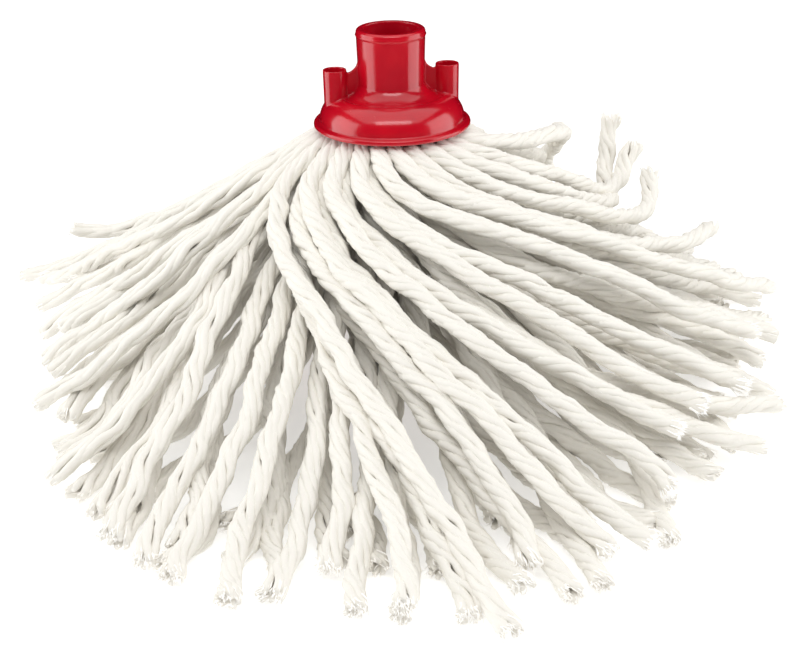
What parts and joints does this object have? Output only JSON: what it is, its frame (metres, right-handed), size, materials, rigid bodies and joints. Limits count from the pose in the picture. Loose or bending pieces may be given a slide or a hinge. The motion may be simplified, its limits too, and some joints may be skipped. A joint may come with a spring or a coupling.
{
  "type": "string mop head",
  "caption": "String mop head: a moulded cap with a threaded handle socket, a clamped hank of folded cotton yarn, and its loose legs spread over a floor.",
  "frame": {"origin": "centre of the handle socket's mouth", "axes": "+Z out of the socket, up along the handle; -Y is the front, where the longest strands lie; +X is to the right"},
  "size_m": [0.3818, 0.4589, 0.1577],
  "materials": {
    "cap_plastic": "glossy moulded polypropylene",
    "plate_plastic": "glossy moulded polypropylene",
    "cotton_yarn": "twisted four-ply cotton yarn, undyed"
  },
  "bodies": {
    "root": {"retainer_plate": "plate_plastic", "socket_cap": "cap_plastic", "strand_front_01": "cotton_yarn", "strand_front_02": "cotton_yarn", "strand_front_03": "cotton_yarn", "strand_front_04": "cotton_yarn", "strand_front_05": "cotton_yarn", "strand_front_06": "cotton_yarn", "strand_front_07": "cotton_yarn", "strand_left_01": "cotton_yarn", "strand_left_02": "cotton_yarn", "strand_left_03": "cotton_yarn", "strand_left_04": "cotton_yarn", "strand_left_05": "cotton_yarn", "strand_left_06": "cotton_yarn", "strand_left_07": "cotton_yarn", "strand_left_08": "cotton_yarn", "strand_left_09": "cotton_yarn", "strand_left_10": "cotton_yarn", "strand_left_11": "cotton_yarn", "strand_left_12": "cotton_yarn", "strand_rear_01": "cotton_yarn", "strand_rear_02": "cotton_yarn", "strand_rear_03": "cotton_yarn", "strand_rear_04": "cotton_yarn", "strand_rear_05": "cotton_yarn", "strand_sweep_01": "cotton_yarn", "strand_sweep_02": "cotton_yarn", "strand_sweep_03": "cotton_yarn", "strand_sweep_04": "cotton_yarn", "strand_sweep_05": "cotton_yarn", "strand_sweep_06": "cotton_yarn", "strand_sweep_07": "cotton_yarn", "strand_sweep_08": "cotton_yarn", "strand_sweep_09": "cotton_yarn", "strand_sweep_10": "cotton_yarn", "strand_sweep_11": "cotton_yarn", "strand_sweep_12": "cotton_yarn", "strand_sweep_13": "cotton_yarn", "strand_sweep_14": "cotton_yarn", "strand_sweep_15": "cotton_yarn", "strand_sweep_16": "cotton_yarn", "strands_fifth_back": "cotton_yarn", "strands_fifth_front": "cotton_yarn", "strands_fifth_side": "cotton_yarn", "strands_fourth_back": "cotton_yarn", "strands_fourth_left": "cotton_yarn", "strands_fourth_right": "cotton_yarn", "strands_inmost_back": "cotton_yarn", "strands_inmost_front": "cotton_yarn", "strands_second_back": "cotton_yarn", "strands_second_left": "cotton_yarn", "strands_second_right": "cotton_yarn", "strands_sixth_around": "cotton_yarn", "strands_sixth_front": "cotton_yarn", "strands_third_back": "cotton_yarn", "strands_third_left": "cotton_yarn", "strands_third_right": "cotton_yarn", "strands_top_back": "cotton_yarn", "yarn_fold": "cotton_yarn"}
  },
  "joints": []
}
